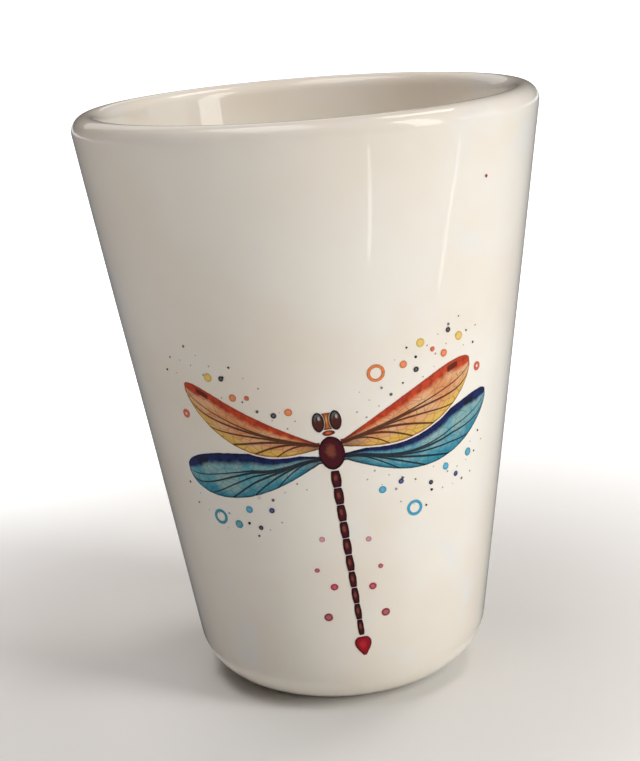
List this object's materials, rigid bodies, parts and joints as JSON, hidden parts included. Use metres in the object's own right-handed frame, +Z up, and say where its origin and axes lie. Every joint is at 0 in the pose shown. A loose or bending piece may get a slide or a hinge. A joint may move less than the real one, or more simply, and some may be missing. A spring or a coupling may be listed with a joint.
{
  "type": "shot glass",
  "caption": "Small tapered glazed ceramic cup with a full-round lip, a bare foot ring and a printed dragonfly with dots and rings.",
  "frame": {"origin": "centre of the foot ring, on the surface that the cup stands on", "axes": "+Z up along the cup's axis, -Y towards the printed front, +X to the viewer's right"},
  "size_m": [0.0462, 0.0462, 0.06],
  "materials": {
    "fired_clay": "bare fired body, fine matt grain",
    "glaze": "clear gloss glaze over a creamy white body",
    "ink_upper_wing": "printed ink, orange-red edge through peach to yellow, dark veins, gloss",
    "ink_lower_wing": "printed ink, navy edge through teal to pale grey-green, dark veins, gloss",
    "ink_body": "printed ink, dark maroon, gloss",
    "ink_collar": "printed ink, orange-red, gloss",
    "ink_face": "printed ink, amber, gloss",
    "ink_eye": "printed ink, dark brown, gloss",
    "ink_tail_tip": "printed ink, deep red, gloss",
    "ink_orange": "printed ink, orange, gloss",
    "ink_red": "printed ink, red, gloss",
    "ink_teal": "printed ink, teal, gloss",
    "ink_sky_blue": "printed ink, sky blue, gloss",
    "ink_charcoal": "printed ink, charcoal, gloss",
    "ink_yellow": "printed ink, yellow, gloss",
    "ink_navy": "printed ink, navy, gloss",
    "ink_dark_slate": "printed ink, dark slate, gloss",
    "ink_crimson": "printed ink, crimson, gloss",
    "ink_pink": "printed ink, pink, gloss",
    "ink_deep_red": "printed ink, deep red, gloss",
    "ink_rose": "printed ink, rose, gloss"
  },
  "bodies": {
    "root": {"clay_body": "fired_clay", "glaze_coat": "glaze", "foot_well_glaze": "glaze", "print_wing_upper_right": "ink_upper_wing", "print_wing_upper_left": "ink_upper_wing", "print_wing_lower_right": "ink_lower_wing", "print_wing_lower_left": "ink_lower_wing", "print_thorax": "ink_body", "print_collar": "ink_collar", "print_face": "ink_face", "print_eye_left": "ink_eye", "print_eye_right": "ink_eye", "print_abdomen_1": "ink_body", "print_abdomen_2": "ink_body", "print_abdomen_3": "ink_body", "print_abdomen_4": "ink_body", "print_abdomen_5": "ink_body", "print_abdomen_6": "ink_body", "print_abdomen_7": "ink_body", "print_abdomen_8": "ink_body", "print_abdomen_9": "ink_body", "print_abdomen_10": "ink_body", "print_tail_tip": "ink_tail_tip", "print_ring_upper_right": "ink_orange", "print_ring_wing_tip_right": "ink_red", "print_ring_wing_tip_left": "ink_red", "print_ring_lower_left": "ink_teal", "print_ring_lower_right": "ink_sky_blue", "print_dot_upper_left_1": "ink_orange", "print_dot_upper_left_2": "ink_charcoal", "print_dot_upper_left_3": "ink_yellow", "print_dot_upper_left_4": "ink_red", "print_dot_upper_left_5": "ink_orange", "print_dot_upper_left_6": "ink_charcoal", "print_dot_upper_right_1": "ink_orange", "print_dot_upper_right_2": "ink_charcoal", "print_dot_upper_right_3": "ink_yellow", "print_dot_upper_right_4": "ink_red", "print_dot_upper_right_5": "ink_orange", "print_dot_upper_right_6": "ink_charcoal", "print_dot_upper_right_7": "ink_yellow", "print_dot_lower_left_1": "ink_sky_blue", "print_dot_lower_left_2": "ink_navy", "print_dot_lower_left_3": "ink_teal", "print_dot_lower_left_4": "ink_dark_slate", "print_dot_lower_right_1": "ink_sky_blue", "print_dot_lower_right_2": "ink_navy", "print_dot_lower_right_3": "ink_teal", "print_dot_lower_right_4": "ink_dark_slate", "print_dot_lower_right_5": "ink_sky_blue", "print_dot_lower_right_6": "ink_navy", "print_dot_tail_left_1": "ink_crimson", "print_dot_tail_left_2": "ink_pink", "print_dot_tail_left_3": "ink_deep_red", "print_dot_tail_left_4": "ink_rose", "print_dot_tail_right_1": "ink_crimson", "print_dot_tail_right_2": "ink_pink", "print_dot_tail_right_3": "ink_deep_red", "print_dot_tail_right_4": "ink_rose"}
  },
  "joints": []
}
